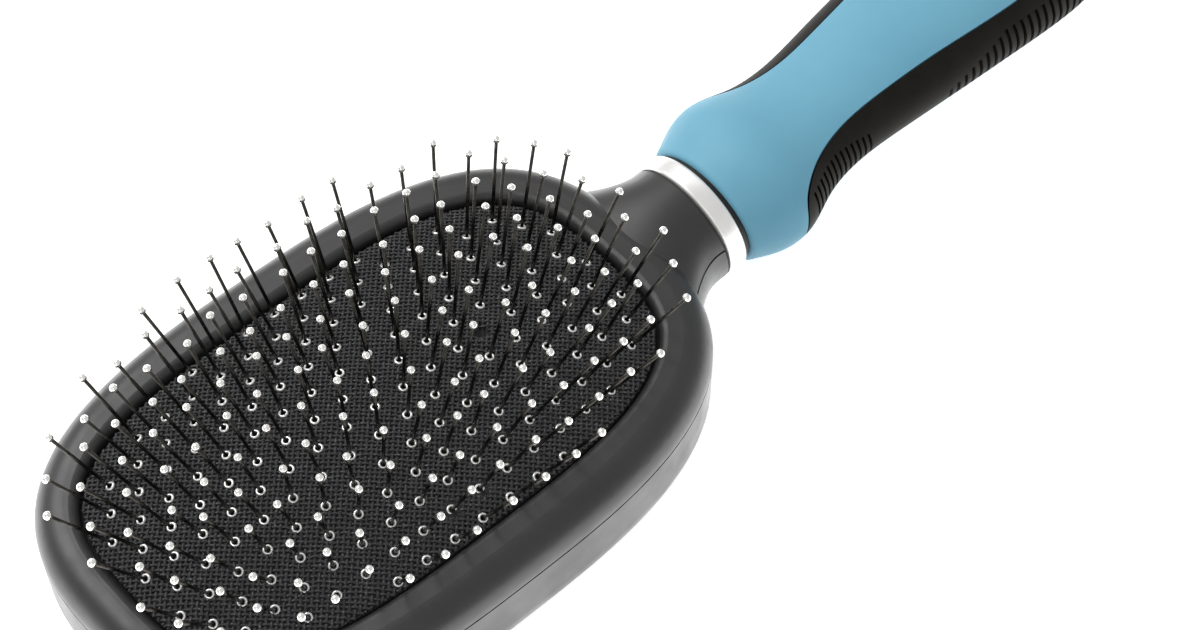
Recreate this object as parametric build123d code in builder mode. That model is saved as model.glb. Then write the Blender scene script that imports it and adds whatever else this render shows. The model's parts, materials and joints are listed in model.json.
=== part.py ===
from build123d import *
from math import copysign, cos, pi, radians, sin, tan
import os

# Cushioned ball-pin grooming brush. Millimetres, +Z up.
# Origin: middle of the flat back of the head. +X runs along the handle, +Z towards the pin tips.

# Head: two shells that meet at the seam
head_half_length = 59.0
head_half_width = 38.8
head_x = 1.0
head_power = 2.85
seam_height = 16.0
head_height = 22.0
rim_round = 5.2
back_round = 7.0
wall = 2.2
seam_chamfer = 0.4
tongue_height = 1.4
tongue_thickness = 1.0
fit_gap = 0.1

# Opening in the front frame
opening_half_length = 50.5
opening_half_width = 29.4
opening_power = 3.2
opening_round = 1.6
lip_height = 19.5

# Cushion
membrane_thickness = 1.4
membrane_overlap = 2.6
fabric_edge_height = 19.8
fabric_crown = 3.2
fabric_gap = 0.5
foam_half_length = 48.2
foam_half_width = 26.2
foam_power = 2.87
foam_top = 14.4
vent_x = 22.9
vent_radius = 1.1

# Pins
pin_rows = 13
row_pitch = 4.3
pin_pitch = 5.7
field_half_length = 47.5
field_half_width = 26.6
field_power = 3.0
splay_x = 0.0109
splay_y = 0.0216
pin_length = 19.0
wire_radius = 0.35
head_radius = 1.4
head_depth = 2.75
tip_radius = 0.8
tip_socket_depth = 0.9
collar_radius = 0.95
collar_height = 0.5
collar_lift = 0.8
sliding_gap = 0.03
membrane_hole_radius = 1.1
fabric_hole_radius = 1.6

# Neck, ring and handle
handle_tilt = 6.5
ring_x = 70.1
ring_height = 12.4
ring_half_width = 12.8
ring_half_height = 12.1
ring_width = 3.8
ring_round = 0.6
ring_step = 0.55
ring_gap = 0.4
band_half_width = 12.0
band_half_height = 10.4
spigot_start_x = 58.5
spigot_length = 20.5
socket_length = 18.5
spigot_half_width = 9.5
spigot_half_height = 6.8
sleeve_end_x = 164.0
handle_end_x = 182.0
grip_thickness = 2.4
sleeve_round = 1.2
groove = 0.25
hang_hole_x = 173.0
hang_hole_radius = 3.2

# Ribs on the side grips; a group is its first place, pitch, count, first height and climb for each rib
rib_depth = 0.8
rib_slot_share = 0.42
rib_top = 4.5
rib_groups = [(88.8, 1.3, 13, 6.0, -0.25), (123.0, 1.8, 23, 0.5, 0.5)]

cavity_half_length = head_half_length - wall
cavity_half_width = head_half_width - wall
tongue_half_length = cavity_half_length - fit_gap
tongue_half_width = cavity_half_width - fit_gap
tray_half_length = tongue_half_length - tongue_thickness
tray_half_width = tongue_half_width - tongue_thickness
tray_round = back_round - wall
membrane_half_length = opening_half_length + membrane_overlap
membrane_half_width = opening_half_width + membrane_overlap
fabric_half_length = opening_half_length - fabric_gap
fabric_half_width = opening_half_width - fabric_gap
crown_top = fabric_edge_height + fabric_crown
dome_radius_x = (opening_half_length**2 + fabric_crown**2) / (2 * fabric_crown)
dome_radius_y = (opening_half_width**2 + fabric_crown**2) / (2 * fabric_crown)
wire_end = pin_length - 2 * tip_radius + tip_socket_depth
pivot_height = lip_height - fit_gap - membrane_thickness / 2
membrane_top = pivot_height + membrane_thickness / 2
outline_steps = 48
side_reach = 30.0
dome_side = crown_top - dome_radius_y + (dome_radius_y**2 - side_reach**2) ** 0.5

# Neck stations along X: place, half width, lowest and highest point
neck_stations = [(53.0, 21.6, 1.2, 21.2), (58.0, 17.6, 0.8, 22.4), (63.5, 13.6, 0.7, 23.3)]

# Handle stations along X: place, half width, half height and height of the middle
handle_stations = [
    (75.2, 13.1, 11.1, 12.9),
    (77.5, 14.1, 11.8, 13.1),
    (81.0, 15.7, 12.7, 13.5),
    (86.0, 16.4, 12.5, 14.4),
    (93.0, 14.3, 9.9, 16.0),
    (101.0, 13.1, 8.5, 17.5),
    (112.0, 13.9, 8.6, 19.3),
    (126.0, 15.4, 9.5, 21.1),
    (142.0, 16.7, 10.7, 22.7),
    (160.0, 16.9, 11.5, 24.4),
    (168.0, 15.2, 10.9, 25.2),
    (175.0, 12.0, 9.4, 26.0),
    (180.0, 7.4, 6.2, 26.5),
    (handle_end_x, 3.5, 3.0, 26.7),
]

# Edge of the blue panel seen from above, from the bulge to the bare end
panel_edge = [
    (85.3, 17.6),
    (85.7, 15.5),
    (88.2, 13.2),
    (92.0, 11.1),
    (98.5, 9.2),
    (112.0, 9.3),
    (120.0, 10.1),
    (136.0, 12.1),
    (150.0, 12.9),
]


def superellipse(half_length, half_width, power, middle_x=0.0):
    """Outline points of a rounded oblong that is flatter at its sides than an ellipse."""
    points = []
    for step in range(outline_steps):
        angle = 2 * pi * step / outline_steps
        x = middle_x + half_length * copysign(abs(cos(angle)) ** (2 / power), cos(angle))
        y = half_width * copysign(abs(sin(angle)) ** (2 / power), sin(angle))
        points.append((x, y))
    return points


def axis_height(x):
    """Height of the handle's centre line between two stations."""
    for before, after in zip(handle_stations, handle_stations[1:]):
        if before[0] <= x <= after[0]:
            share = (x - before[0]) / (after[0] - before[0])
            return before[3] + share * (after[3] - before[3])


def across(x, height):
    """Plane square to the handle, with its own x axis along +Y."""
    direction = (cos(radians(handle_tilt)), 0, sin(radians(handle_tilt)))
    return Plane(origin=(x, 0, height), x_dir=(0, 1, 0), z_dir=direction)


def spigot_height(x):
    """Height of the straight line through the ring along which the spigot runs."""
    return ring_height + (x - ring_x) * tan(radians(handle_tilt))


def crown_height(x, y):
    """Height of the fabric's domed top above the pivot plane."""
    fall = (x / opening_half_length) ** 2 + (y / opening_half_width) ** 2
    return fabric_edge_height - pivot_height + fabric_crown * max(0.0, 1 - fall)


def row_points(row):
    """Pin places in one row; every second row is shifted by half a pitch."""
    y = (row - (pin_rows - 1) / 2) * row_pitch
    shift = pin_pitch / 2 * (row % 2)
    places = []
    for step in range(-pin_rows, pin_rows):
        x = step * pin_pitch + shift
        reach = (abs(x) / field_half_length) ** field_power + (abs(y) / field_half_width) ** field_power
        if reach <= 1 and ((x - vent_x) ** 2 + y**2) ** 0.5 > pin_pitch / 2:
            places.append((x, y))
    return places


def lean(x, y):
    """Sideways travel of a pin for each millimetre it rises."""
    return splay_x * x, splay_y * y


def fabric_hole(x, y):
    """Middle of a pin's clearance hole through the facing."""
    lean_x, lean_y = lean(x, y)
    middle = (crown_height(x, y) + membrane_thickness / 2) / 2
    return x + lean_x * middle, y + lean_y * middle


def collar_place(x, y):
    """Distance along a pin from the pivot plane to its collar."""
    lean_x, lean_y = lean(x, y)
    return (crown_height(x, y) + collar_lift) * (1 + lean_x**2 + lean_y**2) ** 0.5


def pin_plane(x, y):
    """Plane square to a pin, at the height where it passes through the membrane."""
    lean_x, lean_y = lean(x, y)
    return Plane(origin=(x, y, pivot_height), z_dir=(lean_x, lean_y, 1))


ring_plane = across(ring_x, ring_height)
sleeve_plane = across(handle_stations[0][0], handle_stations[0][3])
band_width = (sleeve_plane.origin - ring_plane.origin).dot(ring_plane.z_dir) - ring_width
spigot_plane = across(spigot_start_x, spigot_height(spigot_start_x))
os.makedirs("parts", exist_ok=True)
rows = [row_points(row) for row in range(pin_rows)]
pins = [place for row in rows for place in row]

# Outer form of the head and neck, before it is parted into shells
with BuildPart() as head_form:
    with BuildSketch():
        with BuildLine():
            Spline(*superellipse(head_half_length, head_half_width, head_power, head_x), periodic=True)
        make_face()
    extrude(amount=head_height)
    fillet(head_form.edges().group_by(Axis.Z)[-1], rim_round)
    fillet(head_form.edges().group_by(Axis.Z)[0], back_round)
    for x, half_width, bottom, top in neck_stations:
        with BuildSketch(Plane(origin=(x, 0, (bottom + top) / 2), x_dir=(0, 1, 0), z_dir=(1, 0, 0))):
            Ellipse(half_width, (top - bottom) / 2)
    with BuildSketch(ring_plane.offset(-ring_gap)):
        Ellipse(ring_half_width - ring_step, ring_half_height - ring_step)
    loft()

# Room inside the neck and the ring for the handle's spigot
with BuildPart() as spigot_socket:
    with BuildSketch(spigot_plane.offset(-fit_gap)):
        Ellipse(spigot_half_width + fit_gap, spigot_half_height + fit_gap)
    extrude(amount=socket_length)

# Front frame: the rim around the cushion and the upper half of the neck
with BuildPart() as front_frame:
    add(head_form.part)
    split(bisect_by=Plane.XY.offset(seam_height), keep=Keep.TOP)
    chamfer(front_frame.edges().group_by(Axis.Z)[0], seam_chamfer)
    with BuildSketch(Plane.XY.offset(seam_height)):
        with BuildLine():
            Spline(*superellipse(opening_half_length, opening_half_width, opening_power), periodic=True)
        make_face()
    extrude(amount=head_height, mode=Mode.SUBTRACT)
    # Along X the level edges are the rim's outer round, the opening and the root of the neck
    rim_edges = front_frame.edges().filter_by_position(Axis.Z, head_height - fit_gap, head_height + fit_gap)
    fillet(rim_edges.sort_by(Axis.X)[1], opening_round)
    with BuildSketch(Plane.XY.offset(seam_height)):
        with BuildLine():
            Spline(*superellipse(cavity_half_length, cavity_half_width, head_power, head_x), periodic=True)
        make_face()
    extrude(amount=lip_height - seam_height, mode=Mode.SUBTRACT)
    add(spigot_socket.part, mode=Mode.SUBTRACT)
front_frame.part.label = "front_frame"
export_step(front_frame.part, "parts/front_frame.step")

# Hollow of the tray under the cushion
with BuildPart() as tray_form:
    with BuildSketch(Plane.XY.offset(wall)):
        with BuildLine():
            Spline(*superellipse(tray_half_length, tray_half_width, head_power, head_x), periodic=True)
        make_face()
    extrude(amount=head_height)
    fillet(tray_form.edges().group_by(Axis.Z)[0], tray_round)

# Back shell: the tray under the cushion and the lower half of the neck
with BuildPart() as back_shell:
    add(head_form.part)
    split(bisect_by=Plane.XY.offset(seam_height), keep=Keep.BOTTOM)
    with BuildSketch(Plane.XY.offset(seam_height)):
        with BuildLine():
            Spline(*superellipse(tongue_half_length, tongue_half_width, head_power, head_x), periodic=True)
        make_face()
    extrude(amount=tongue_height)
    add(tray_form.part, mode=Mode.SUBTRACT)
    add(spigot_socket.part, mode=Mode.SUBTRACT)
back_shell.part.label = "back_shell"
export_step(back_shell.part, "parts/back_shell.step")

# Silver ring that covers the joint between the neck and the handle
with BuildPart() as neck_ring:
    with BuildSketch(ring_plane):
        Ellipse(ring_half_width, ring_half_height)
    extrude(amount=ring_width)
    fillet(neck_ring.edges(), ring_round)
    add(spigot_socket.part, mode=Mode.SUBTRACT)
neck_ring.part.label = "neck_ring"
export_step(neck_ring.part, "parts/neck_ring.step")

# Outer form of the handle
with BuildPart() as handle_form:
    for x, half_width, half_height, height in handle_stations:
        with BuildSketch(across(x, height)):
            Ellipse(half_width, half_height)
    loft()
    fillet(handle_form.edges().group_by(Axis.X)[0], sleeve_round)

# The same form set in by the thickness of the soft covers
with BuildPart() as core_form:
    for x, half_width, half_height, height in handle_stations[:-1]:
        with BuildSketch(across(x, height)):
            Ellipse(half_width - grip_thickness, half_height - grip_thickness)
    loft()

# The same form set in by the depth of the rib slots
with BuildPart() as rib_floor:
    for x, half_width, half_height, height in handle_stations:
        with BuildSketch(across(x, height)):
            Ellipse(half_width - rib_depth, half_height - rib_depth)
    loft()

# Handle core: spigot, collar band, core under the covers and bare rounded end with a hanging hole
with BuildPart() as handle_core:
    add(handle_form.part)
    split(bisect_by=Plane.YZ.offset(sleeve_end_x), keep=Keep.TOP)
    add(core_form.part)
    with BuildSketch(spigot_plane):
        Ellipse(spigot_half_width, spigot_half_height)
    extrude(amount=spigot_length)
    with BuildSketch(sleeve_plane):
        Ellipse(band_half_width, band_half_height)
    extrude(amount=-band_width)
    with Locations((hang_hole_x, 0, axis_height(hang_hole_x))):
        Hole(hang_hole_radius)
handle_core.part.label = "handle_core"
export_step(handle_core.part, "parts/handle_core.step")

# Layer between the core and the outside that the soft covers share
with BuildPart() as cover_layer:
    add(handle_form.part)
    split(bisect_by=Plane.YZ.offset(sleeve_end_x), keep=Keep.BOTTOM)
    add(core_form.part, mode=Mode.SUBTRACT)

# Side windows in the blue sleeve, one on each side
with BuildPart() as side_window:
    with BuildSketch():
        with BuildLine():
            edge = Spline(*panel_edge)
            start, end = edge @ 0, edge @ 1
            Polyline(end, (handle_end_x, end.Y), (handle_end_x, side_reach), (start.X, side_reach), start)
        make_face()
    extrude(amount=2 * side_reach)
    mirror(about=Plane.XZ)

# Blue sleeve: wraps the handle behind the ring and runs on as a panel above and below
with BuildPart() as blue_sleeve:
    add(cover_layer.part)
    add(side_window.part, mode=Mode.SUBTRACT)
blue_sleeve.part.label = "blue_sleeve"
export_step(blue_sleeve.part, "parts/blue_sleeve.step")

# Slots between the ribs: a short group behind the bulge and a long group that starts low and climbs
with BuildPart() as rib_slots:
    for start, pitch, count, first_top, climb in rib_groups:
        for step in range(count):
            x = start + step * pitch
            top = min(rib_top, first_top + climb * step)
            slot_size = (2 * side_reach, top + rib_top, rib_slot_share * pitch)
            slot_plane = across(x, axis_height(x))
            with Locations(slot_plane.location * Location((0, top, 0))):
                Box(*slot_size, align=(Align.CENTER, Align.MAX, Align.CENTER))
    add(rib_floor.part, mode=Mode.SUBTRACT)

# Ribbed side grip on +Y, a groove's width inside its window
with BuildPart() as side_grip_left:
    add(cover_layer.part)
    with BuildSketch():
        with BuildLine():
            edge = Spline(*[(x + groove, y + groove) for x, y in panel_edge])
            start, end = edge @ 0, edge @ 1
            Polyline(end, (handle_end_x, end.Y), (handle_end_x, side_reach), (start.X, side_reach), start)
        make_face()
    extrude(amount=2 * side_reach, mode=Mode.INTERSECT)
    add(rib_slots.part, mode=Mode.SUBTRACT)
side_grip_left.part.label = "side_grip_left"
export_step(side_grip_left.part, "parts/side_grip_left.step")

# Its mirror image on -Y
with BuildPart() as side_grip_right:
    add(side_grip_left.part.mirror(Plane.XZ))
side_grip_right.part.label = "side_grip_right"
export_step(side_grip_right.part, "parts/side_grip_right.step")

# Foam block that pushes the cushion back up
with BuildPart() as cushion_foam:
    with BuildSketch(Plane.XY.offset(wall)):
        with BuildLine():
            Spline(*superellipse(foam_half_length, foam_half_width, foam_power), periodic=True)
        make_face()
    extrude(amount=foam_top - wall)
cushion_foam.part.label = "cushion_foam"
export_step(cushion_foam.part, "parts/cushion_foam.step")

# Rubber membrane that holds the pins; its edge sits under the frame's lip
with BuildPart() as cushion_membrane:
    with BuildSketch(Plane.XY.offset(membrane_top - membrane_thickness)):
        with BuildLine():
            Spline(*superellipse(membrane_half_length, membrane_half_width, opening_power), periodic=True)
        make_face()
        with Locations(*pins):
            Circle(membrane_hole_radius, mode=Mode.SUBTRACT)
        with Locations((vent_x, 0)):
            Circle(vent_radius, mode=Mode.SUBTRACT)
    extrude(amount=membrane_thickness)
cushion_membrane.part.label = "cushion_membrane"
export_step(cushion_membrane.part, "parts/cushion_membrane.step")

# Domed space that the facing fills; its thin edge stays level round the corners
with BuildPart() as fabric_dome:
    with BuildSketch(Plane.YZ):
        with BuildLine():
            arc = ThreePointArc((-side_reach, dome_side), (0, crown_top), (side_reach, dome_side))
            Polyline(arc @ 1, (side_reach, 0), (-side_reach, 0), arc @ 0)
        make_face()
    revolve(axis=Axis((0, 0, crown_top - dome_radius_x), (0, 1, 0)))
    with Locations((0, 0, fabric_edge_height)):
        block_size = (2 * head_half_length, 2 * head_half_width, seam_height)
        Box(*block_size, align=(Align.CENTER, Align.CENTER, Align.MAX))

# Woven facing: flat below, domed on top, with a clearance hole where each pin comes through
with BuildPart() as cushion_fabric:
    with BuildSketch(Plane.XY.offset(membrane_top)):
        with BuildLine():
            Spline(*superellipse(fabric_half_length, fabric_half_width, opening_power), periodic=True)
        make_face()
        with Locations(*[fabric_hole(x, y) for x, y in pins]):
            Circle(fabric_hole_radius, mode=Mode.SUBTRACT)
        with Locations((vent_x, 0)):
            Circle(vent_radius, mode=Mode.SUBTRACT)
    extrude(amount=2 * fabric_crown)
    add(fabric_dome.part, mode=Mode.INTERSECT)
cushion_fabric.part.label = "cushion_fabric"
export_step(cushion_fabric.part, "parts/cushion_fabric.step")

# One pin: wire with a round head below the membrane
with BuildPart() as pin:
    with Locations((0, 0, -head_depth)):
        Sphere(head_radius)
    with BuildSketch(Plane.XY.offset(-head_depth)):
        Circle(wire_radius)
    extrude(amount=head_depth + wire_end)

# One ball tip, with a socket for the end of its wire
with BuildPart() as tip:
    with Locations((0, 0, pin_length - tip_radius)):
        Sphere(tip_radius)
    with BuildSketch():
        Circle(wire_radius + sliding_gap)
    extrude(amount=wire_end + sliding_gap, mode=Mode.SUBTRACT)

# One collar, threaded on a pin just above the facing
with BuildPart() as collar:
    with BuildSketch():
        Circle(collar_radius)
        Circle(wire_radius + sliding_gap, mode=Mode.SUBTRACT)
    extrude(amount=collar_height)
    fillet(collar.edges().group_by(Axis.Z)[-1].sort_by(SortBy.RADIUS)[-1], collar_height / 2)

# Pins, tips and collars, row by row from -Y to +Y
for number, places in enumerate(rows, start=1):
    with BuildPart() as pin_row:
        with Locations(*[pin_plane(x, y) for x, y in places]):
            add(pin.part)
    pin_row.part.label = f"pin_row_{number:02d}"
    export_step(pin_row.part, f"parts/pin_row_{number:02d}.step")
    with BuildPart() as tip_row:
        with Locations(*[pin_plane(x, y) for x, y in places]):
            add(tip.part)
    tip_row.part.label = f"pin_tips_{number:02d}"
    export_step(tip_row.part, f"parts/pin_tips_{number:02d}.step")
    with BuildPart() as collar_row:
        with Locations(*[pin_plane(x, y).offset(collar_place(x, y)) for x, y in places]):
            add(collar.part)
    collar_row.part.label = f"pin_collars_{number:02d}"
    export_step(collar_row.part, f"parts/pin_collars_{number:02d}.step")
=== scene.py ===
import json
import random
from math import cos, pi, radians, sin

import bmesh
import bpy
import numpy as np
from mathutils import Matrix, Vector
from mathutils.bvhtree import BVHTree

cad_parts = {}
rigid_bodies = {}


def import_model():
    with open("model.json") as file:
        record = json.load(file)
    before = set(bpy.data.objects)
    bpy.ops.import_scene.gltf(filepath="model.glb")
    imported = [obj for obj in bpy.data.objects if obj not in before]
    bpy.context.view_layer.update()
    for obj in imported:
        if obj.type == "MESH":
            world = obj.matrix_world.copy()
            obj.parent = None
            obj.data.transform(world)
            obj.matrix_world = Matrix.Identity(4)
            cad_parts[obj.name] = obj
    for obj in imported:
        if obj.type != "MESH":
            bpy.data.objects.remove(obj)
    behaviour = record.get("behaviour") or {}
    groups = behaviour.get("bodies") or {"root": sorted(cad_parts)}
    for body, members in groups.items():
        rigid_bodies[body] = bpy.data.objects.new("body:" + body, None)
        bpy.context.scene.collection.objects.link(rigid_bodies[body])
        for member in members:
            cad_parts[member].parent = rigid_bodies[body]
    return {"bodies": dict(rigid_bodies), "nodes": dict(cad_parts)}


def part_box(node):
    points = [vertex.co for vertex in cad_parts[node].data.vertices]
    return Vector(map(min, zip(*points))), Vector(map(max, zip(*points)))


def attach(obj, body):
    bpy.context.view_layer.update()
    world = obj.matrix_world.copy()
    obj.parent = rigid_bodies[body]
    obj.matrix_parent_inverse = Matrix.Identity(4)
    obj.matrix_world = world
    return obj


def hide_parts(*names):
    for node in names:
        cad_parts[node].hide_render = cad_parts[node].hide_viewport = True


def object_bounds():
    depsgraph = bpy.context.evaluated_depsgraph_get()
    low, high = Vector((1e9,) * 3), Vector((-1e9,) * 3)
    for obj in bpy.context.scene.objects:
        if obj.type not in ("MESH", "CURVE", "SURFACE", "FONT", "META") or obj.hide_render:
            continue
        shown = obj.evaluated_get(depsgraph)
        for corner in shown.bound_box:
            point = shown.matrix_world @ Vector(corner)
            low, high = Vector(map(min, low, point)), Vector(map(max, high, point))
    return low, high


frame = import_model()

MM = 0.001
WELD = 1e-7
SEED = 7

# Cushion facing: edge, puckers and vent
EDGE_THICKNESS = 0.4 * MM
EDGE_POWER = 3.2
EDGE_RISE = 1.0 * MM
EDGE_START = 0.955
ROLL_SHARE = 0.8
LIP_GAP = 0.5 * MM
PUCKER_DEPTH = 0.35 * MM
PUCKER_RADIUS = 0.9 * MM
VENT_X = 22.9 * MM
VENT_RADIUS = 1.3 * MM
VENT_DEPTH = 1.8 * MM
FACING_STEPS = 160
FACING_RINGS = 60
ROOT_PASSES = 4

# Cloth that swells the facing between the pins, simulated at a larger scale
SIM_SCALE = 100.0
SIM_CELL = 1.3 * MM
SIM_FRAMES = 20
SIM_QUALITY = 6
SIM_MASS = 0.3
SIM_STIFFNESS = 12.0
SIM_BENDING = 0.4
SIM_PRESSURE = 2.0
SIM_CAP = 0.9 * MM
PIN_HOLD = 1.1 * MM
RAY_TOP = 1.0
DOWN = Vector((0, 0, -1))

# Weave
WEAVE_PITCH = 0.85 * MM
WEAVE_TURN = radians(-43)
WEAVE_STEPS = 4
WEAVE_LIFTS = (0.09 * MM, 0.17 * MM)
YARN_RADIUS = 0.16 * MM
YARN_WIDE = 1.6
YARN_SIDES = 4
YARN_WAVER = 0.04 * MM
WAVER_RATE = 90.0
WAVER_SHIFT = 1.7
YARN_SHORTEST = 12

# Pins
WIRE_RADIUS = 0.31 * MM
WIRE_BURIED = 3.0 * MM
WIRE_SIDES = 10
COLLAR_RADIUS = 0.66 * MM
COLLAR_THICK = 0.24 * MM
COLLAR_LIFT = 0.12 * MM
COLLAR_DEPTH = 0.55 * MM
COLLAR_SIDES = 18
COLLAR_STEPS = 8
PIN_STRAY = 0.45 * MM
TIP_SHARE = 0.92
TIP_SIDES = 16
TIP_STEPS = 10

# Noise, with the levels between which a tint or a roughness runs from its first value to its second
NOISE_ROUGHNESS = 0.55
NOISE_LOW = 0.3
NOISE_HIGH = 0.7
WHITE = (1.0, 1.0, 1.0, 1.0)

# Floor and light
FLOOR_REACH = 3.0
FLOOR_GLOW = 0.75
FLOOR_SHEEN = 2.1
WORLD_LEVEL = 0.5
WORLD_GLOSS = 0.14
LIGHT_TARGET = (0.04, 0.0, 0.01)
KEY_PLACE = (-0.10, 0.55, 0.75)
KEY_SIZE = (0.7, 0.5)
KEY_POWER = 5.0
FILL_PLACE = (-0.6, -0.5, 0.6)
FILL_SIZE = (0.6, 0.6)
FILL_POWER = 1.0

# Camera
CAMERA_TARGET = Vector((43.63, -7.07, 16.0)) * MM
CAMERA_TURN = radians(-42.495)
CAMERA_RISE = radians(53.857)
CAMERA_ROLL = radians(0.355)
CAMERA_DISTANCE = 428.84 * MM
CAMERA_LENS = 74.435
CAMERA_CLIP = 10.0 * MM

cad_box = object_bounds()
row_names = sorted(name[4:] for name in frame["bodies"] if name.startswith("row_"))
random.seed(SEED)


# ---------------------------------------------------------------- node helpers

def new_material(name):
    """Material with a Principled surface; returns it, its node tree and the shader."""
    material = bpy.data.materials.new(name)
    material.use_nodes = True
    tree = material.node_tree
    return material, tree, tree.nodes["Principled BSDF"]


def add(tree, kind, **values):
    """Add a node and set its properties and unlinked inputs by name."""
    node = tree.nodes.new(kind)
    for key, value in values.items():
        if hasattr(node, key):
            setattr(node, key, value)
        else:
            node.inputs[key].default_value = value
    return node


def set_inputs(shader, **values):
    """Set unlinked shader inputs by name, with underscores for spaces."""
    for key, value in values.items():
        shader.inputs[key.replace("_", " ")].default_value = value


def object_point(tree):
    """Output with the surface point in the shared frame, in metres."""
    return tree.nodes.new("ShaderNodeTexCoord").outputs["Object"]


def noise(tree, point, scale, detail):
    """Noise texture value; scale is in cells per metre."""
    node = add(tree, "ShaderNodeTexNoise", Scale=scale, Detail=detail, Roughness=NOISE_ROUGHNESS)
    tree.links.new(point, node.inputs["Vector"])
    return node.outputs["Fac"]


def ramp(tree, value, stops):
    """Colour ramp through (place, colour) stops."""
    node = tree.nodes.new("ShaderNodeValToRGB")
    band = node.color_ramp
    while len(band.elements) < len(stops):
        band.elements.new(0.5)
    for element, (place, colour) in zip(band.elements, stops):
        element.position = place
        element.color = (*colour, 1.0)
    tree.links.new(value, node.inputs["Fac"])
    return node.outputs["Color"]


def tint(tree, shader, value, dark, light):
    """Base colour that drifts between two tones with a noise value."""
    colour = ramp(tree, value, [(NOISE_LOW, dark), (NOISE_HIGH, light)])
    tree.links.new(colour, shader.inputs["Base Color"])


def dull(tree, shader, value, low, high):
    """Roughness that drifts between two levels with a noise value."""
    node = tree.nodes.new("ShaderNodeMapRange")
    node.inputs["From Min"].default_value = NOISE_LOW
    node.inputs["From Max"].default_value = NOISE_HIGH
    node.inputs["To Min"].default_value = low
    node.inputs["To Max"].default_value = high
    tree.links.new(value, node.inputs["Value"])
    tree.links.new(node.outputs["Result"], shader.inputs["Roughness"])


def bump(tree, shader, height, distance, strength, below=None):
    """Bump from a height output, over the bump below; distance is in metres."""
    node = add(tree, "ShaderNodeBump", Distance=distance, Strength=strength)
    tree.links.new(height, node.inputs["Height"])
    if below is not None:
        tree.links.new(below, node.inputs["Normal"])
    tree.links.new(node.outputs["Normal"], shader.inputs["Normal"])
    return node.outputs["Normal"]


# ------------------------------------------------------------------- materials

def satin_plastic():
    """Black moulded plastic: fine grain, broad soft highlights, faint handling marks."""
    material, tree, shader = new_material("satin_black_plastic")
    point = object_point(tree)
    tone = noise(tree, point, scale=60, detail=4)
    tint(tree, shader, tone, dark=(0.015, 0.015, 0.015), light=(0.023, 0.023, 0.0225))
    marks = noise(tree, point, scale=140, detail=5)
    dull(tree, shader, marks, low=0.36, high=0.48)
    set_inputs(shader, Specular_IOR_Level=0.62)
    grain = noise(tree, point, scale=4200, detail=2)
    bump(tree, shader, grain, distance=0.02 * MM, strength=0.5)
    return material


def handle_plastic():
    """Black moulded handle core, a little rougher than the head."""
    material, tree, shader = new_material("black_handle_plastic")
    point = object_point(tree)
    tone = noise(tree, point, scale=90, detail=4)
    tint(tree, shader, tone, dark=(0.010, 0.0095, 0.009), light=(0.018, 0.017, 0.016))
    set_inputs(shader, Roughness=0.5, Specular_IOR_Level=0.3)
    grain = noise(tree, point, scale=3000, detail=2)
    bump(tree, shader, grain, distance=0.03 * MM, strength=0.5)
    return material


def satin_metal():
    """Satin silver ring: very fine turned lines round the ring and soft cloudy dullness."""
    material, tree, shader = new_material("satin_silver")
    point = object_point(tree)
    stretch = add(tree, "ShaderNodeMapping", Scale=(1.0, 0.02, 0.02))
    tree.links.new(point, stretch.inputs["Vector"])
    lines = noise(tree, stretch.outputs["Vector"], scale=9000, detail=2)
    clouds = noise(tree, point, scale=220, detail=4)
    tint(tree, shader, clouds, dark=(0.87, 0.86, 0.845), light=(0.95, 0.945, 0.93))
    dull(tree, shader, clouds, low=0.30, high=0.42)
    set_inputs(shader, Metallic=0.6)
    bump(tree, shader, lines, distance=0.02 * MM, strength=0.35)
    return material


def soft_touch_blue():
    """Blue soft-touch rubber: matt, slightly mottled, faint edge sheen and a fine skin grain."""
    material, tree, shader = new_material("blue_soft_touch")
    point = object_point(tree)
    tone = noise(tree, point, scale=45, detail=5)
    tint(tree, shader, tone, dark=(0.155, 0.42, 0.575), light=(0.185, 0.47, 0.625))
    marks = noise(tree, point, scale=300, detail=4)
    dull(tree, shader, marks, low=0.52, high=0.62)
    set_inputs(shader, Sheen_Weight=0.05, Sheen_Roughness=0.5, Specular_IOR_Level=0.35)
    grain = noise(tree, point, scale=5200, detail=3)
    skin = bump(tree, shader, grain, distance=0.02 * MM, strength=0.5)
    waves = noise(tree, point, scale=260, detail=2)
    bump(tree, shader, waves, distance=0.06 * MM, strength=0.3, below=skin)
    return material


def grip_rubber():
    """Dull brown-black grip rubber with a fine grain."""
    material, tree, shader = new_material("black_grip_rubber")
    point = object_point(tree)
    tone = noise(tree, point, scale=160, detail=5)
    tint(tree, shader, tone, dark=(0.006, 0.0055, 0.004), light=(0.012, 0.011, 0.009))
    set_inputs(shader, Roughness=0.62, Specular_IOR_Level=0.12)
    grain = noise(tree, point, scale=3800, detail=3)
    bump(tree, shader, grain, distance=0.04 * MM, strength=0.6)
    return material


def weave_yarn():
    """Black nylon yarn with painted glints: pale bluish specks in the base colour, scattered along
    the strands.
    """
    material, tree, shader = new_material("woven_fabric")
    point = object_point(tree)
    black = (0.35, (0.008, 0.008, 0.009))
    grey = (0.6, (0.035, 0.035, 0.038))
    # painted glints: the highest noise values turn the base colour pale bluish, standing in for
    # highlights on the yarn
    painted_glint = (0.72, (0.20, 0.21, 0.235))
    colour = ramp(tree, noise(tree, point, scale=2400, detail=4), [black, grey, painted_glint])
    tree.links.new(colour, shader.inputs["Base Color"])
    dull(tree, shader, noise(tree, point, scale=1500, detail=3), low=0.28, high=0.55)
    set_inputs(shader, Sheen_Weight=0.15)
    fibres = noise(tree, point, scale=6000, detail=3)
    bump(tree, shader, fibres, distance=0.06 * MM, strength=0.8)
    return material


def membrane_rubber():
    """Matt black rubber under the weave."""
    material, tree, shader = new_material("membrane_rubber")
    tone = noise(tree, object_point(tree), scale=300, detail=4)
    tint(tree, shader, tone, dark=(0.006, 0.006, 0.006), light=(0.012, 0.012, 0.012))
    set_inputs(shader, Roughness=0.8)
    return material


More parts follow.
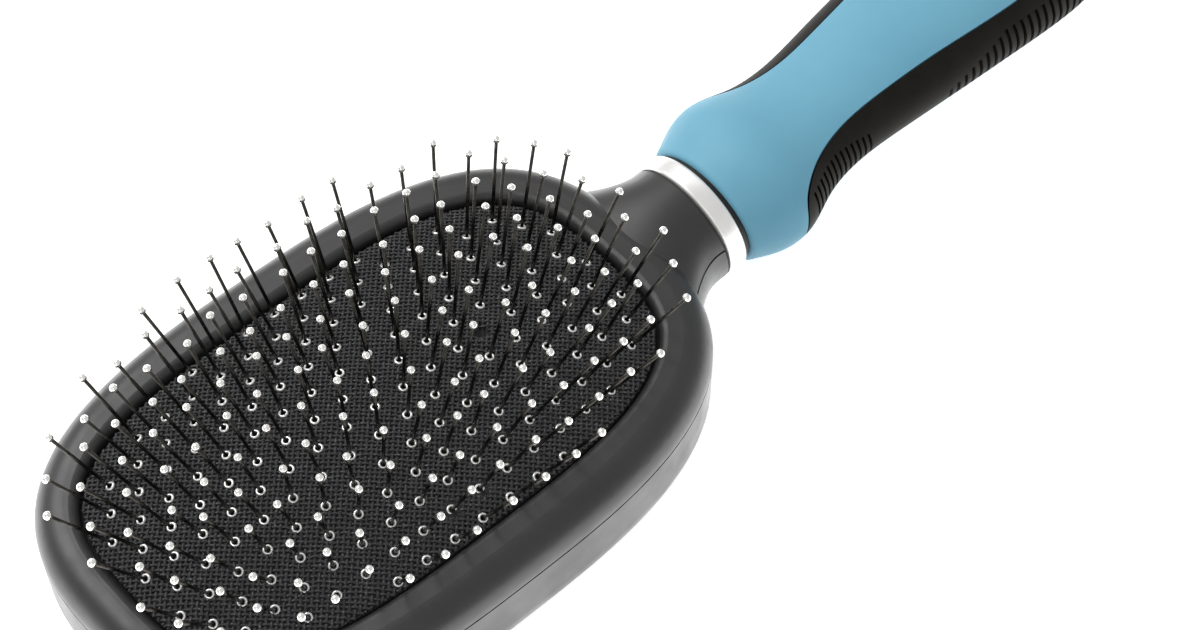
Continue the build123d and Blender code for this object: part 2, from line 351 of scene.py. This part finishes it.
def foam_cells():
    """Grey open-cell foam, with painted shade darkening the pit of each cell."""
    material, tree, shader = new_material("foam")
    cells = add(tree, "ShaderNodeTexVoronoi", Scale=1400.0)
    tree.links.new(object_point(tree), cells.inputs["Vector"])
    depth = cells.outputs["Distance"]
    # painted shade: the colour is darkest in the middle of each cell, where the bump sinks, and
    # lighter on the rims
    colour = ramp(tree, depth, [(0.1, (0.03, 0.03, 0.03)), (0.6, (0.16, 0.16, 0.16))])
    tree.links.new(colour, shader.inputs["Base Color"])
    set_inputs(shader, Roughness=0.9)
    bump(tree, shader, depth, distance=0.3 * MM, strength=0.8)
    return material


def pin_metal(name, dark, light, low, high, metallic):
    """Drawn wire or polished metal with faint tarnish; low and high bound its roughness."""
    material, tree, shader = new_material(name)
    tarnish = noise(tree, object_point(tree), scale=900, detail=4)
    tint(tree, shader, tarnish, dark, light)
    dull(tree, shader, tarnish, low, high)
    set_inputs(shader, Metallic=metallic)
    return material


def floor_paper():
    """White light table: it glows for the camera and in reflections, not on the object."""
    material, tree, shader = new_material("studio_paper")
    tone = noise(tree, object_point(tree), scale=30, detail=3)
    tint(tree, shader, tone, dark=(0.88, 0.88, 0.88), light=(0.90, 0.90, 0.90))
    set_inputs(shader, Roughness=0.9, Specular_IOR_Level=0.0)
    set_inputs(shader, Emission_Color=WHITE)
    rays = tree.nodes.new("ShaderNodeLightPath")
    glow = add(tree, "ShaderNodeMath", operation="MULTIPLY")
    glow.inputs[1].default_value = FLOOR_GLOW
    tree.links.new(rays.outputs["Is Camera Ray"], glow.inputs[0])
    total = add(tree, "ShaderNodeMath", operation="MULTIPLY_ADD")
    total.inputs[1].default_value = FLOOR_SHEEN
    tree.links.new(rays.outputs["Is Glossy Ray"], total.inputs[0])
    tree.links.new(glow.outputs["Value"], total.inputs[2])
    tree.links.new(total.outputs["Value"], shader.inputs["Emission Strength"])
    return material


plastic = satin_plastic()
grip = grip_rubber()
rubber = membrane_rubber()
yarn = weave_yarn()
wire_steel = pin_metal(
    "pin_wire", dark=(0.03, 0.028, 0.025), light=(0.07, 0.065, 0.058),
    low=0.24, high=0.36, metallic=1.0)
tip_steel = pin_metal(
    "pin_tip", dark=(0.90, 0.88, 0.84), light=(0.97, 0.96, 0.93),
    low=0.08, high=0.15, metallic=0.85)
collar_steel = pin_metal(
    "pin_collar", dark=(0.84, 0.84, 0.82), light=(0.94, 0.94, 0.92),
    low=0.18, high=0.3, metallic=0.7)

node_materials = {
    "front_frame": plastic,
    "back_shell": plastic,
    "neck_ring": satin_metal(),
    "handle_core": handle_plastic(),
    "blue_sleeve": soft_touch_blue(),
    "side_grip_left": grip,
    "side_grip_right": grip,
    "cushion_foam": foam_cells(),
    "cushion_membrane": rubber,
}
for node_name, material in node_materials.items():
    shape = frame["nodes"][node_name]
    shape.data.materials.clear()
    shape.data.materials.append(material)


# ------------------------------------------------------------------ the pieces

def mesh_from(name, verts, faces):
    """Mesh from lists of points and faces."""
    mesh = bpy.data.meshes.new(name)
    mesh.from_pydata(verts, [], faces)
    mesh.validate()
    return mesh


def piece(name, mesh, material, body, slot_name, *nodes):
    """Smooth object from a mesh, riding on a body and standing for CAD nodes."""
    shape = bpy.data.objects.new(name, mesh)
    bpy.context.scene.collection.objects.link(shape)
    mesh.materials.append(material)
    for polygon in mesh.polygons:
        polygon.use_smooth = True
    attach(shape, body)
    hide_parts(*nodes)


def islands(node_name):
    """Middle of each separate solid in a CAD node, from -X to +X."""
    work = bmesh.new()
    work.from_mesh(frame["nodes"][node_name].data)
    bmesh.ops.remove_doubles(work, verts=work.verts, dist=WELD)
    left, middles = set(work.verts), []
    while left:
        stack, group = [left.pop()], []
        while stack:
            vert = stack.pop()
            group.append(vert.co.copy())
            for edge in vert.link_edges:
                other = edge.other_vert(vert)
                if other in left:
                    left.discard(other)
                    stack.append(other)
        middles.append(sum(group, Vector()) / len(group))
    work.free()
    return sorted(middles, key=lambda place: place.x)


# --------------------------------------------------------------------- cushion

low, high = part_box("cushion_fabric")
field_half = ((high - low).x / 2, (high - low).y / 2)
fabric_base = low.z
edge_height = fabric_base + EDGE_THICKNESS + EDGE_RISE
crown = high.z - edge_height
row_pins = {}
for row in row_names:
    row_pins[row] = list(zip(islands(f"pin_collars_{row}"), islands(f"pin_tips_{row}")))


def dome(x, y):
    """Height of the crowned facing before the cloth swells it; x and y may be arrays."""
    fall = (x / (field_half[0] + LIP_GAP)) ** 2 + (y / (field_half[1] + LIP_GAP)) ** 2
    return edge_height + crown * np.maximum(0.0, 1 - fall)


def crossing(collar, tip):
    """Point where a pin's line passes through the facing."""
    direction = (tip - collar).normalized()
    point = collar.copy()
    for _ in range(ROOT_PASSES):
        point = point - direction * ((point.z - float(dome(point.x, point.y))) / direction.z)
    return point


pin_roots = np.array([crossing(*line)[:2] for row in row_names for line in row_pins[row]])


def edge_level(x, y):
    """Place of a point between the middle of the opening, 0, and its edge, 1."""
    share_x, share_y = np.abs(x) / field_half[0], np.abs(y) / field_half[1]
    return (share_x**EDGE_POWER + share_y**EDGE_POWER) ** (1 / EDGE_POWER)


def sheet_grid():
    """Points and faces of a square grid that covers the opening."""
    across_x, across_y = (int(half / SIM_CELL) + 1 for half in field_half)
    verts, index = [], {}
    for i in range(-across_x, across_x + 1):
        for j in range(-across_y, across_y + 1):
            x, y = i * SIM_CELL, j * SIM_CELL
            if edge_level(x, y) > 1 + SIM_CELL / field_half[1]:
                continue
            index[i, j] = len(verts)
            verts.append((x, y, float(dome(x, y))))
    faces = []
    for i, j in index:
        corners = [(i, j), (i + 1, j), (i + 1, j + 1), (i, j + 1)]
        if all(corner in index for corner in corners):
            faces.append([index[corner] for corner in corners])
    return verts, faces


def simulated_sheet():
    """Search tree of a sheet held at its edge and at every pin and blown up by cloth pressure."""
    verts, faces = sheet_grid()
    mesh = bpy.data.meshes.new("sheet")
    mesh.from_pydata((np.array(verts) * SIM_SCALE).tolist(), [], faces)
    sheet = bpy.data.objects.new("sheet", mesh)
    bpy.context.scene.collection.objects.link(sheet)
    held = sheet.vertex_groups.new(name="held")
    for number, (x, y, _) in enumerate(verts):
        pin_away = np.min(np.hypot(pin_roots[:, 0] - x, pin_roots[:, 1] - y))
        if edge_level(x, y) > EDGE_START or pin_away < PIN_HOLD:
            held.add([number], 1.0, "REPLACE")
    cloth = sheet.modifiers.new("cloth", "CLOTH")
    cloth.settings.quality = SIM_QUALITY
    cloth.settings.mass = SIM_MASS
    cloth.settings.tension_stiffness = SIM_STIFFNESS
    cloth.settings.compression_stiffness = SIM_STIFFNESS
    cloth.settings.bending_stiffness = SIM_BENDING
    cloth.settings.vertex_group_mass = "held"
    cloth.settings.use_pressure = True
    cloth.settings.uniform_pressure_force = SIM_PRESSURE
    cloth.settings.effector_weights.gravity = 0.0
    cloth.collision_settings.use_collision = False
    cloth.point_cache.frame_start = 1
    cloth.point_cache.frame_end = SIM_FRAMES
    for frame_number in range(1, SIM_FRAMES + 1):
        bpy.context.scene.frame_set(frame_number)
    seen = sheet.evaluated_get(bpy.context.evaluated_depsgraph_get()).data
    points = [vertex.co / SIM_SCALE for vertex in seen.vertices]
    bpy.context.scene.frame_set(1)
    bpy.data.objects.remove(sheet)
    grown = []
    for point, vert in zip(points, verts):
        move = point - Vector(vert)
        grown.append(Vector(vert) + move.normalized() * min(move.length, SIM_CAP))
    return BVHTree.FromPolygons(grown, faces)


sheet_tree = simulated_sheet()


def sheet_height(x, y):
    """Height of the simulated sheet under one place."""
    place, *_ = sheet_tree.ray_cast(Vector((x, y, RAY_TOP)), DOWN)
    return place.z if place else float(dome(x, y))


def facing_height(x, y):
    """Height of the facing with a pucker round each pin, a sunk vent and a rolled edge."""
    x, y = np.broadcast_arrays(np.asarray(x, float), np.asarray(y, float))
    height = np.vectorize(sheet_height, otypes=[float])(x, y)
    spread = (x[..., None] - pin_roots[:, 0]) ** 2 + (y[..., None] - pin_roots[:, 1]) ** 2
    puckers = np.exp(-spread / (2 * PUCKER_RADIUS**2)).sum(axis=-1)
    vent = np.exp(-((((x - VENT_X) ** 2 + y**2) / VENT_RADIUS**2) ** 2))
    roll = np.clip((edge_level(x, y) - EDGE_START) / (1 - EDGE_START), 0, 1)
    height = height - PUCKER_DEPTH * puckers - VENT_DEPTH * vent
    return height - EDGE_THICKNESS * ROLL_SHARE * roll**2


def facing_mesh():
    """Closed pad under the weave: rings of points from the middle to the edge, and a flat back."""
    work = bmesh.new()
    outline = []
    for step in range(FACING_STEPS):
        angle = 2 * pi * step / FACING_STEPS
        x = np.sign(cos(angle)) * abs(cos(angle)) ** (2 / EDGE_POWER) * field_half[0]
        y = np.sign(sin(angle)) * abs(sin(angle)) ** (2 / EDGE_POWER) * field_half[1]
        outline.append((x, y))
    outline = np.array(outline)
    rings = []
    for ring in range(1, FACING_RINGS + 1):
        places = outline * ring / FACING_RINGS
        heights = facing_height(places[:, 0], places[:, 1]) - YARN_RADIUS
        rings.append([work.verts.new((x, y, z)) for (x, y), z in zip(places, heights)])
    middle = work.verts.new((0, 0, float(facing_height(0.0, 0.0)) - YARN_RADIUS))
    back = [work.verts.new((x, y, fabric_base)) for x, y in outline]
    for step in range(FACING_STEPS):
        after = (step + 1) % FACING_STEPS
        work.faces.new((middle, rings[0][step], rings[0][after]))
        for inner, outer in zip(rings, rings[1:]):
            work.faces.new((inner[step], outer[step], outer[after], inner[after]))
        work.faces.new((rings[-1][step], back[step], back[after], rings[-1][after]))
    work.faces.new(list(reversed(back)))
    bmesh.ops.recalc_face_normals(work, faces=work.faces)
    mesh = bpy.data.meshes.new("cushion_facing")
    work.to_mesh(mesh)
    work.free()
    return mesh


def strand(points, verts, faces):
    """Append one closed yarn with a diamond section along a row of points."""
    along = np.gradient(points, axis=0)
    along /= np.linalg.norm(along, axis=1)[:, None]
    side = np.cross(along, (0.0, 0.0, 1.0))
    side /= np.linalg.norm(side, axis=1)[:, None]
    up = np.cross(side, along)
    first, count = len(verts), len(points)
    for turn in range(YARN_SIDES):
        angle = 2 * pi * turn / YARN_SIDES
        offset = side * cos(angle) * YARN_RADIUS * YARN_WIDE + up * sin(angle) * YARN_RADIUS
        verts.extend((points + offset).tolist())
    for turn in range(YARN_SIDES):
        here = first + turn * count
        there = first + (turn + 1) % YARN_SIDES * count
        for k in range(count - 1):
            faces.append((here + k, here + k + 1, there + k + 1, there + k))
    faces.append([first + turn * count for turn in range(YARN_SIDES)])
    faces.append([first + turn * count + count - 1 for turn in reversed(range(YARN_SIDES))])


def weave_mesh():
    """Plain weave on the bias: yarns both ways, each over and under the ones it crosses."""
    verts, faces = [], []
    count = int(sum(field_half) / WEAVE_PITCH)
    steps = np.arange(-count * WEAVE_STEPS, count * WEAVE_STEPS + 1)
    along = steps * WEAVE_PITCH / WEAVE_STEPS
    for way, lift in enumerate(WEAVE_LIFTS):
        turn = WEAVE_TURN + way * pi / 2
        for number in range(-count, count + 1):
            waver = YARN_WAVER * np.sin(along * WAVER_RATE + number * WAVER_SHIFT)
            across = number * WEAVE_PITCH + waver
            x = along * cos(turn) - across * sin(turn)
            y = along * sin(turn) + across * cos(turn)
            inside = edge_level(x, y) < 1
            if inside.sum() < YARN_SHORTEST:
                continue
            x, y = x[inside], y[inside]
            phase = along[inside] / WEAVE_PITCH * pi + (number + way) * pi
            height = facing_height(x, y) + lift * np.cos(phase)
            strand(np.stack([x, y, height], axis=1), verts, faces)
    return mesh_from("cushion_weave", verts, faces)


piece("cushion_facing", facing_mesh(), rubber, "pin_bed", "woven_fabric", "cushion_fabric")
piece("cushion_weave", weave_mesh(), yarn, "pin_bed", "woven_fabric", "cushion_fabric")


# ------------------------------------------------------------------------ pins

def turned(profile, segments, place, direction, verts, faces):
    """Append a lathe form: (radius, height) pairs turned round a direction from a place."""
    swing = direction.to_track_quat("Z", "Y").to_matrix()
    rings = []
    for radius, height in profile:
        first = len(verts)
        if radius < WELD:
            rings.append([first])
            verts.append(tuple(place + swing @ Vector((0, 0, height))))
            continue
        rings.append(list(range(first, first + segments)))
        for step in range(segments):
            angle = 2 * pi * step / segments
            point = Vector((radius * cos(angle), radius * sin(angle), height))
            verts.append(tuple(place + swing @ point))
    for lower, upper in zip(rings, rings[1:]):
        for step in range(segments):
            after = (step + 1) % segments
            if len(lower) == 1:
                faces.append((lower[0], upper[after], upper[step]))
            elif len(upper) == 1:
                faces.append((lower[step], lower[after], upper[0]))
            else:
                faces.append((lower[step], lower[after], upper[after], upper[step]))


tip_low, tip_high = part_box(f"pin_tips_{row_names[len(row_names) // 2]}")
tip_radius = (tip_high - tip_low).y / 2 * TIP_SHARE
ball = []
for k in range(TIP_STEPS + 1):
    angle = pi * k / TIP_STEPS
    ball.append((tip_radius * sin(angle), tip_radius * (1 - cos(angle))))
ring_profile = []
for k in range(COLLAR_STEPS + 1):
    angle = 2 * pi * k / COLLAR_STEPS
    reach = COLLAR_THICK if k < COLLAR_STEPS / 2 else COLLAR_DEPTH
    ring_profile.append((COLLAR_RADIUS + COLLAR_THICK * cos(angle), reach * sin(angle)))

for row in row_names:
    wires, tips, collars = ([], []), ([], []), ([], [])
    for collar, tip in row_pins[row]:
        root = crossing(collar, tip)
        stray = Vector((random.gauss(0, PIN_STRAY), random.gauss(0, PIN_STRAY), 0))
        end = tip + stray
        direction = (end - root).normalized()
        length = (end - root).length
        wire = [(0.0, -WIRE_BURIED)]
        wire += [(WIRE_RADIUS, height) for height in (-WIRE_BURIED, length / 2, length)]
        wire += [(0.0, length)]
        turned(wire, WIRE_SIDES, root, direction, *wires)
        turned(ball, TIP_SIDES, end - direction * tip_radius, direction, *tips)
        turned(ring_profile, COLLAR_SIDES, root + direction * COLLAR_LIFT, direction, *collars)
    for name, mesh, material, slot_name, node in (
        ("pin_wires_", mesh_from("wires", *wires), wire_steel, "pin_wire", "pin_row_"),
        ("pin_balls_", mesh_from("balls", *tips), tip_steel, "pin_tip", "pin_tips_"),
        ("pin_rings_", mesh_from("rings", *collars), collar_steel, "pin_collar", "pin_collars_"),
    ):
        piece(name + row, mesh, material, f"row_{row}", slot_name, node + row)


# -------------------------------------------------------- floor, light, camera

lowest = cad_box[0][2]
corners = [(-1, -1), (1, -1), (1, 1), (-1, 1)]
floor_points = [(x * FLOOR_REACH, y * FLOOR_REACH, lowest) for x, y in corners]
floor_mesh = mesh_from("floor", floor_points, [(0, 1, 2, 3)])
floor_mesh.materials.append(floor_paper())
floor = bpy.data.objects.new("floor", floor_mesh)
bpy.context.scene.collection.objects.link(floor)

world = bpy.data.worlds.new("studio")
world.use_nodes = True
sky = world.node_tree
background = sky.nodes["Background"]
background.inputs["Color"].default_value = WHITE
strength = add(sky, "ShaderNodeMath", operation="MULTIPLY_ADD")
strength.inputs[1].default_value = WORLD_GLOSS
strength.inputs[2].default_value = WORLD_LEVEL
sky.links.new(sky.nodes.new("ShaderNodeLightPath").outputs["Is Glossy Ray"], strength.inputs[0])
sky.links.new(strength.outputs["Value"], background.inputs["Strength"])
bpy.context.scene.world = world


def softbox(name, place, size, power):
    """Rectangular area light that faces the object."""
    light = bpy.data.lights.new(name, "AREA")
    light.shape = "RECTANGLE"
    light.size, light.size_y = size
    light.energy = power
    lamp = bpy.data.objects.new(name, light)
    lamp.location = place
    view = Vector(LIGHT_TARGET) - Vector(place)
    lamp.rotation_euler = view.to_track_quat("-Z", "Y").to_euler()
    bpy.context.scene.collection.objects.link(lamp)


softbox("key", KEY_PLACE, KEY_SIZE, KEY_POWER)
softbox("fill", FILL_PLACE, FILL_SIZE, FILL_POWER)

flat = cos(CAMERA_RISE)
away = Vector((sin(CAMERA_TURN) * flat, -cos(CAMERA_TURN) * flat, sin(CAMERA_RISE)))
level = Vector((cos(CAMERA_TURN), sin(CAMERA_TURN), 0.0))
upright = away.cross(level)
right = level * cos(CAMERA_ROLL) + upright * sin(CAMERA_ROLL)
up = upright * cos(CAMERA_ROLL) - level * sin(CAMERA_ROLL)
camera_data = bpy.data.cameras.new("camera")
camera_data.lens = CAMERA_LENS
camera_data.clip_start = CAMERA_CLIP
camera = bpy.data.objects.new("camera", camera_data)
turn = Matrix((right, up, away)).transposed().to_4x4()
camera.matrix_world = Matrix.Translation(CAMERA_TARGET + away * CAMERA_DISTANCE) @ turn
bpy.context.scene.collection.objects.link(camera)
bpy.context.scene.camera = camera
bpy.context.scene.view_settings.view_transform = "Standard"
